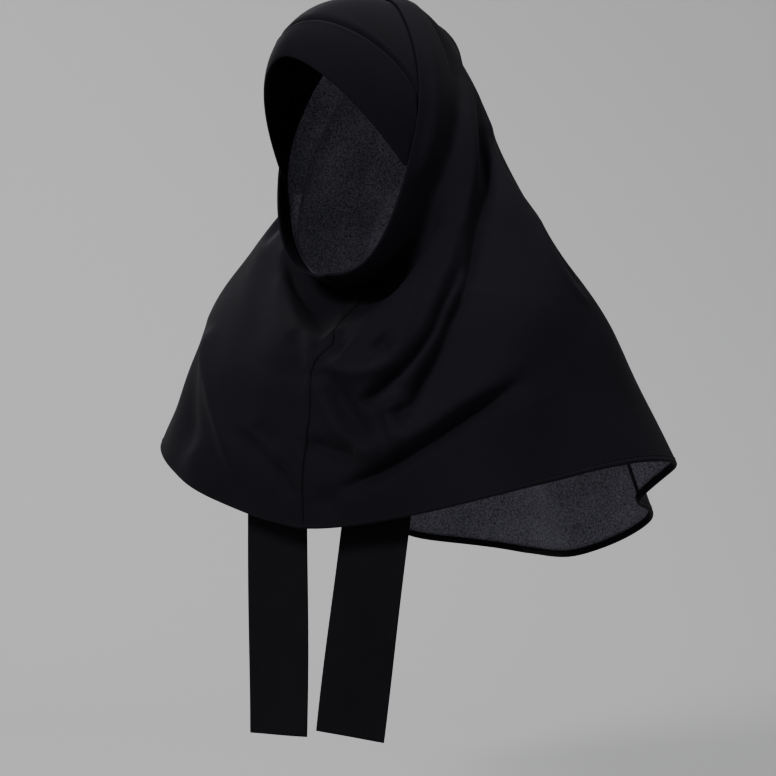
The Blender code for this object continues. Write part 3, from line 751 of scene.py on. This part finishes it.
def browEdge(along):
    # An arc round the front, x and y as sine and cosine, that drops with a power of the way to the
    # band's corners
    corner = smoothDrape(np.array([cap["corner"]]), np.array([0.0]))[0]
    cornerDrop = drape["top"] - corner[2] + cap["cornerShow"]
    turn = cap["browTurn"] * along
    drop = cap["browDrop"] + (cornerDrop - cap["browDrop"]) * np.abs(along) ** cap["dropPower"]
    edge = np.stack([cap["browHalf"] * np.sin(turn), -cap["browReach"] * np.cos(turn),
                     drape["top"] - drop], axis=-1)
    return turned(edge, drape["hoodTurn"])


def ovalSize(points):
    # Distance from the hood's middle, counted in the size of its oval
    middle = np.array([0.0, 0.0, drape["top"] - cap["ovalHeight"]])
    axes = np.array([cap["browHalf"], cap["browReach"], cap["ovalHeight"]])
    return np.linalg.norm((turned(points, -drape["hoodTurn"]) - middle) / axes, axis=-1)


def capSurface(along, w):
    # From the brow edge at w 0 to under the hood edge at w 1, bulged to the hood's oval, and past
    # that along the inside of the drape
    along, w = np.broadcast_arrays(np.asarray(along, float), np.asarray(w, float))
    middle = np.array([0.0, 0.0, drape["top"] - cap["ovalHeight"]])
    around = np.pi - along * (np.pi - cap["corner"])
    hood = foldedDrape(around, np.zeros_like(w), cap["inwards"])
    share = np.clip(w, 0, 1)[..., None]
    brow = browEdge(along)
    straight = brow + (hood - brow) * share
    size = ovalSize(brow)[..., None] * (1 - share) + ovalSize(hood)[..., None] * share
    hump = 6.75 * share * (1 - share) ** 2              # 1 at its highest, a third of the way up
    size = size * (1 + cap["bulge"] * hump * (1 - along[..., None] ** 2))
    bulged = middle + (straight - middle) * size / ovalSize(straight)[..., None]
    under = foldedDrape(around, np.maximum(w - 1, 0) * cap["underlap"], cap["inwards"])
    return np.where(w[..., None] <= 1, bulged, under)


def gridNormals(grid):
    # Normals of a grid of points out of its neighbours, pointing as its faces will
    return unit(np.cross(np.gradient(grid, axis=1), np.gradient(grid, axis=0)))


def seamPlace(along):
    # A parabola from the middle up to the hood edge at its corners, less a bell on one side
    rise = (1 - cap["seamMiddle"]) * (along / cap["seamCorner"]) ** 2
    return cap["seamMiddle"] + rise - cap["dip"] * np.exp(-((along - cap["dipAt"]) / cap["dipWidth"]) ** 2)


def wayFromLast(grid):
    # Metres along each column from its last point back to each of its points
    steps = np.linalg.norm(np.diff(grid, axis=1), axis=-1)
    way = np.zeros(grid.shape[:2])
    way[:, :-1] = np.cumsum(steps[:, ::-1], axis=1)[:, ::-1]
    return way


band = dict(columns=170, rows=34, wall=0.0009, round=0.0007, roundRows=5, insideRows=10,
            insideShare=0.75, leastHeight=0.15, seamGap=0.004, seamDepth=0.0013, seamWidth=0.0016,
            welt=0.0004, weltAt=0.0032, flat=(0.37, 0.105), flatArea=0.024)


def seamLift(way, one):
    # A groove at the seam and a low welt beside it
    return (one["welt"] * np.exp(-((way - one["weltAt"]) / one["seamWidth"]) ** 2)
            - one["seamDepth"] * np.exp(-(way / one["seamWidth"]) ** 2))


def makeBand():
    # One sheet, folded at the brow edge: inside rows, a half circle, then the outside up to the seam
    along = np.linspace(1, -1, band["columns"])[:, None]
    low = cap["tuck"] * np.clip((np.abs(along) - cap["tuckFrom"]) / (1 - cap["tuckFrom"]), 0, 1)
    high = np.minimum(seamPlace(along) - band["seamGap"], cap["underTo"])
    high = np.maximum(high, low + band["leastHeight"])
    outside = capSurface(along, low + (high - low) * np.linspace(0, 1, band["rows"])[None, :])
    normal = gridNormals(outside)
    outside = outside + normal * seamLift(wayFromLast(outside), band)[..., None]
    r = band["round"]
    back = np.linspace(band["insideShare"], 0, band["insideRows"] + 1)[None, :-1]
    inside = capSurface(along, low + (high - low) * back)
    inside = inside + gridNormals(inside) * 2 * r
    turn = np.linspace(0, np.pi, band["roundRows"] + 2)[1:-1]
    first, ahead = normal[:, :1], unit(outside[:, :1] - outside[:, 1:2])
    roundRows = (outside[:, :1] - first * (r + r * np.cos(turn))[None, :, None]
                 + ahead * (r * np.sin(turn))[None, :, None])
    piece = gridMesh("browBand", np.concatenate([inside, roundRows, outside], axis=1), [outerCloth])
    thicken(piece, band["wall"])
    return place(piece, ["brow_band"], "cap_cloth")


bandPiece = makeBand()

panel = dict(columns=130, rows=40, wall=0.0009, side=0.86, seamGap=0.004,
             allowance=0.075, allowanceIn=0.0026,         # turned under the band at the seam
             seamDepth=0.0013, seamWidth=0.0018, welt=0.0007, weltAt=0.0034,
             flat=(0.24, 0.11), flatArea=0.018)


def makePanel():
    # From the seam back under the hood, where its sides end too, with an allowance under the band
    along = np.linspace(panel["side"], -panel["side"], panel["columns"])[:, None]
    low = seamPlace(along) + panel["seamGap"]
    grid = capSurface(along, low + (cap["underTo"] - low) * np.linspace(0, 1, panel["rows"])[None, :])
    way = wayFromLast(grid[:, ::-1])[:, ::-1]
    grid = grid + gridNormals(grid) * seamLift(way, panel)[..., None]
    under = capSurface(along, low - panel["allowance"] * np.linspace(1, 0.12, 6)[None, :])
    under = under - gridNormals(under) * panel["allowanceIn"]
    piece = gridMesh("crownPanel", np.concatenate([under, grid], axis=1), [outerCloth])
    thicken(piece, panel["wall"])
    return place(piece, ["crown_panel"], "cap_cloth")


panelPiece = makePanel()

# Ties

ties = dict(
    width=0.068, drop=0.619, top=0.400, sewn=0.060, reach=0.074, bow=0.050, ease=0.040,
    thickness=0.0018, lengthRows=120, sewnShare=0.14,
    rim=dict(across=26, round=7, width=0.03),
    wave=0.0011, clear=0.0003,
    places=dict(
        leftTie=dict(node="tie_left", middle=0.048, lean=0.147, cut=0.09, longer=0.0, phase=0.4),
        rightTie=dict(node="tie_right", middle=-0.0527, lean=0.025, cut=0.08, longer=0.0061, phase=2.1),
    ),
    flat=(0.068, 0.285),
)


def tieSheet(one):
    # The middle sheet of a tie. Its first share follows the inside of the cape's front, then it
    # swings in to hang from there, with a slow sideways wave along its length.
    def sheet(along, across):
        along, across = np.broadcast_arrays(np.asarray(along, float), np.asarray(across, float))
        start = ties["sewnShare"]
        level = drape["top"] - drape["hemFrontDrop"]
        off = across * ties["width"] / 2
        down = ties["top"] + ties["sewn"] * np.clip(along / start, 0, 1)
        front = smoothDrape(np.zeros_like(down), down)
        x = one["middle"] + off + one["lean"] * (front[..., 2] - level)
        half = smoothDrape(np.full_like(down, np.pi / 2), down)[..., 0]
        angle = np.arcsin(np.clip(x / half, -0.97, 0.97))
        inwards = -(cape["wall"] / 2 + ties["clear"] + ties["thickness"] / 2)
        sewn = foldedDrape(angle, down, inwards)
        fall = np.clip((along - start) / (1 - start), 0, 1)
        endZ = drape["top"] - ties["drop"] - one["longer"] + (one["cut"] - one["lean"]) * off
        z = sewn[..., 2] + (endZ - sewn[..., 2]) * fall
        endX = one["middle"] + off + one["lean"] * (endZ - level)
        x = sewn[..., 0] + (endX - sewn[..., 0]) * fall
        swing = np.clip((sewn[..., 2] - z) / ties["ease"], 0, 1)
        swing = swing**2 * (3 - 2 * swing)
        hang = -ties["reach"] + ties["bow"] * (x / drape["hemHalf"]) ** 2
        hang = hang + ties["wave"] * np.sin(fall * 7 + one["phase"] + across) * fall
        hang = hang + 0.4 * ties["wave"] * np.sin(across * 3 + one["phase"] - 5 * fall) * fall
        y = sewn[..., 1] + (hang - sewn[..., 1]) * swing
        return np.stack([x, y, z], axis=-1)
    return sheet


def makeTie(name, one):
    # The flat tube round the tie's sheet, with two close rows at each end for a crisp cut
    alongs = np.linspace(0, 1, ties["lengthRows"])
    alongs = np.concatenate([[0, 0.001], alongs[1:-1], [0.999, 1]])
    piece = flatTube(name, tieSheet(one), alongs, ties["thickness"], ties["rim"], [tieCloth])
    return place(piece, [one["node"]], "tie_cloth")


tiePieces = [makeTie(name, one) for name, one in ties["places"].items()]
# Studio

studio = dict(
    floorBelow=0.735, wallBehind=1.9, wallTop=5.0, curve=1.1, half=6.0, front=-4.5,
    paper=(0.36, 0.36, 0.36, 1),
    world=(0.62, 0.63, 0.65, 1), worldStrength=0.50,
    # name: place, size, watts, colour; each lamp looks at the middle of the cape
    lamps=dict(
        key=((-1.8, -2.1, 1.4), 0.9, 100.0, (1.0, 0.985, 0.97)),
        fill=((2.4, -1.9, 0.4), 2.0, 26.0, (0.96, 0.97, 1.0)),
        top=((0.2, 0.3, 1.9), 1.8, 45.0, (1.0, 1.0, 1.0)),
        back=((-0.8, 1.6, 0.9), 1.2, 18.0, (0.97, 0.98, 1.0)),
    ),
    aim=(0.0, 0.02, -0.28),
)


def makeStudio():
    # Paper sweep: a floor that turns up behind the object in a quarter circle, and four soft lamps
    azimuth = math.radians(camera["azimuth"])
    away = np.array([-math.sin(azimuth), math.cos(azimuth), 0.0])
    across = np.array([math.cos(azimuth), math.sin(azimuth), 0.0])
    low = -studio["floorBelow"]
    turn = np.linspace(0, np.pi / 2, 24)
    r = studio["curve"]
    wall = studio["wallBehind"]
    run = np.concatenate([[studio["front"], wall - r], wall - r + r * np.sin(turn)[1:], [wall]])
    rise = np.concatenate([[0, 0], (r - r * np.cos(turn))[1:], [studio["wallTop"]]])
    sides = np.linspace(-studio["half"], studio["half"], 9)
    grid = (across[None, None, :] * sides[:, None, None] + away[None, None, :] * run[None, :, None]
            + np.array([0, 0, 1.0]) * (low + rise)[None, :, None])
    paper, tree, shader = newMaterial("paper")
    space = add(tree, "ShaderNodeTexCoord").outputs["Object"]
    fleck = add(tree, "ShaderNodeTexNoise", {"Vector": space, "Scale": 3.0, "Detail": 5.0}).outputs["Fac"]
    tone = studio["paper"]
    lighter = tuple(min(1.0, c * 1.02) for c in tone[:3]) + (1,)
    tree.links.new(mixColours(tree, fleck, tone, lighter), shader.inputs["Base Color"])
    shader.inputs["Roughness"].default_value = 0.9
    shader.inputs["Specular IOR Level"].default_value = 0.1
    # A camera behind or under the paper looks through it
    unseen = add(tree, "ShaderNodeMath", {0: add(tree, "ShaderNodeLightPath").outputs["Is Camera Ray"],
                                          1: add(tree, "ShaderNodeNewGeometry").outputs["Backfacing"]},
                 operation="MULTIPLY").outputs[0]
    clear = add(tree, "ShaderNodeBsdfTransparent").outputs[0]
    mixed = add(tree, "ShaderNodeMixShader", {0: unseen, 1: shader.outputs[0], 2: clear}).outputs[0]
    output = next(node for node in tree.nodes if node.type == "OUTPUT_MATERIAL")
    tree.links.new(mixed, output.inputs["Surface"])
    piece = gridMesh("paperSweep", grid[::-1], [paper])
    world = bpy.data.worlds.new("softLight")
    world.use_nodes = True
    background = world.node_tree.nodes["Background"]
    background.inputs["Color"].default_value = studio["world"]
    background.inputs["Strength"].default_value = studio["worldStrength"]
    bpy.context.scene.world = world
    for name, (at, size, watts, tint) in studio["lamps"].items():
        lamp = bpy.data.lights.new(name, "AREA")
        lamp.shape, lamp.size, lamp.energy, lamp.color = "DISK", size, watts, tint
        holder = bpy.data.objects.new(name, lamp)
        bpy.context.scene.collection.objects.link(holder)
        spot = Vector(at[0] * across + at[1] * away + np.array([0, 0, at[2]]))
        holder.location = spot
        holder.rotation_euler = (Vector(studio["aim"]) - spot).to_track_quat("-Z", "Y").to_euler()


camera = dict(azimuth=38.0, pitch=1.0, distance=2.2, metresPerPixel=0.00087, image=776,
              crownPixel=(418.0, 11.0), behindCrown=0.05)


def makeCamera():
    # Looks almost level from the front and the +X side. The picture's middle is at so many pixels
    # from the pixel that shows the crown.
    azimuth, pitch = math.radians(camera["azimuth"]), math.radians(camera["pitch"])
    right = np.array([math.cos(azimuth), math.sin(azimuth), 0.0])
    back = np.array([math.sin(azimuth) * math.cos(pitch), -math.cos(azimuth) * math.cos(pitch),
                     math.sin(pitch)])
    up = np.cross(back, right)
    middle = camera["image"] / 2
    scale = camera["metresPerPixel"]
    aim = ((middle - camera["crownPixel"][0]) * scale * right
           + np.array([0.0, camera["behindCrown"], -(middle - camera["crownPixel"][1]) * scale]))
    lens = bpy.data.cameras.new("camera")
    lens.sensor_width = 36.0
    lens.lens = 36.0 * camera["distance"] / scale / camera["image"]
    holder = bpy.data.objects.new("camera", lens)
    bpy.context.scene.collection.objects.link(holder)
    spot = aim + camera["distance"] * back
    turn = Matrix((right, up, back)).transposed().to_4x4()
    holder.matrix_world = Matrix.Translation(Vector(spot)) @ turn
    bpy.context.scene.camera = holder


makeCamera()
makeStudio()
print("studio ready")
